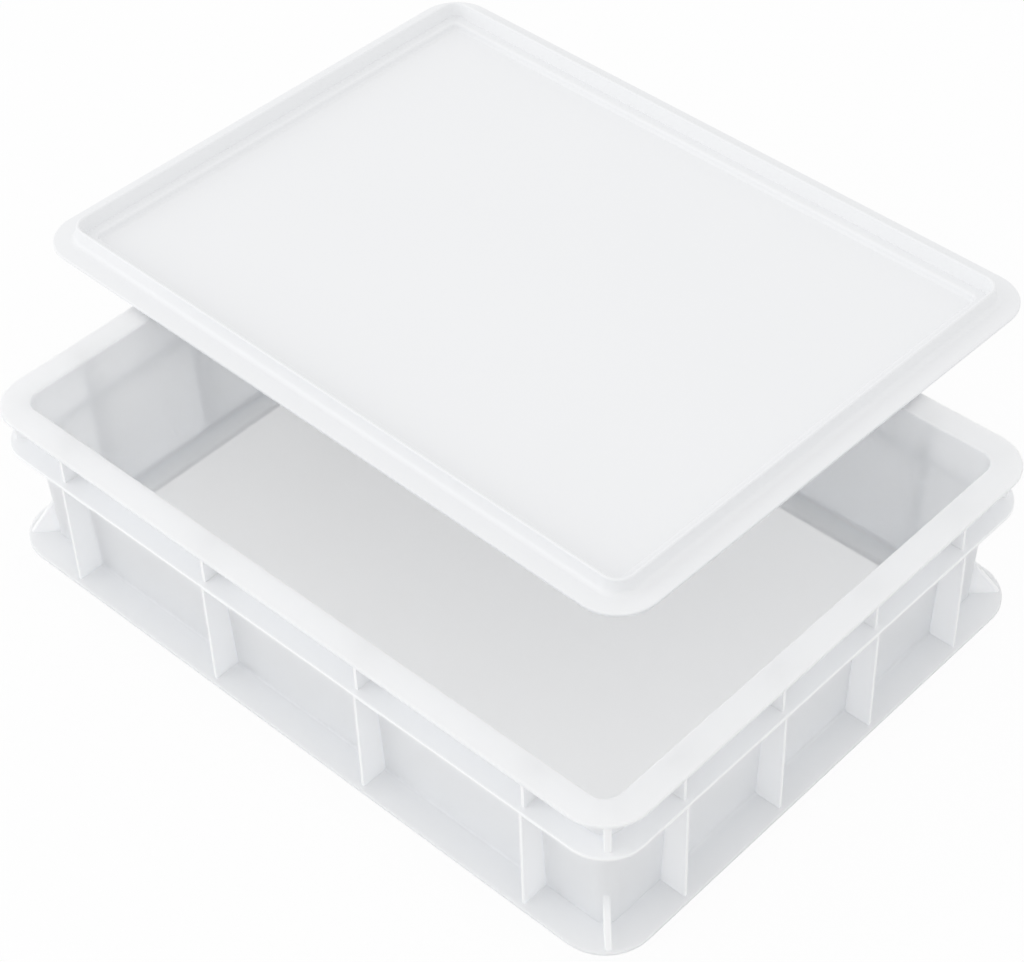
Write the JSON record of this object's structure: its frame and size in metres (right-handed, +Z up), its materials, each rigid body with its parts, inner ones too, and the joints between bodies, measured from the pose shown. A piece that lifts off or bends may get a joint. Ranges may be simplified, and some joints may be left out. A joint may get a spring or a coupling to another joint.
{
  "type": "dough proofing container",
  "caption": "Low rectangular ribbed stacking tub for proofing dough, with a shallow beaded tray lid laid across its back rims.",
  "frame": {"origin": "middle of the flat underside of the tub's foot", "axes": "+X along the tub's longer side, +Y from the near long side to the far one that carries the lid, +Z up"},
  "size_m": [0.4728, 0.3974, 0.1161],
  "materials": {
    "tub_plastic": "satin moulded",
    "lid_plastic": "satin moulded"
  },
  "bodies": {
    "tub": {"tub": "tub_plastic"},
    "lid": {"lid": "lid_plastic"}
  },
  "joints": [
    {"name": "lid_lift", "type": "slide", "parent": "tub", "child": "lid", "axis": [0, 0, 1], "range_m": [0, 0.12]}
  ]
}
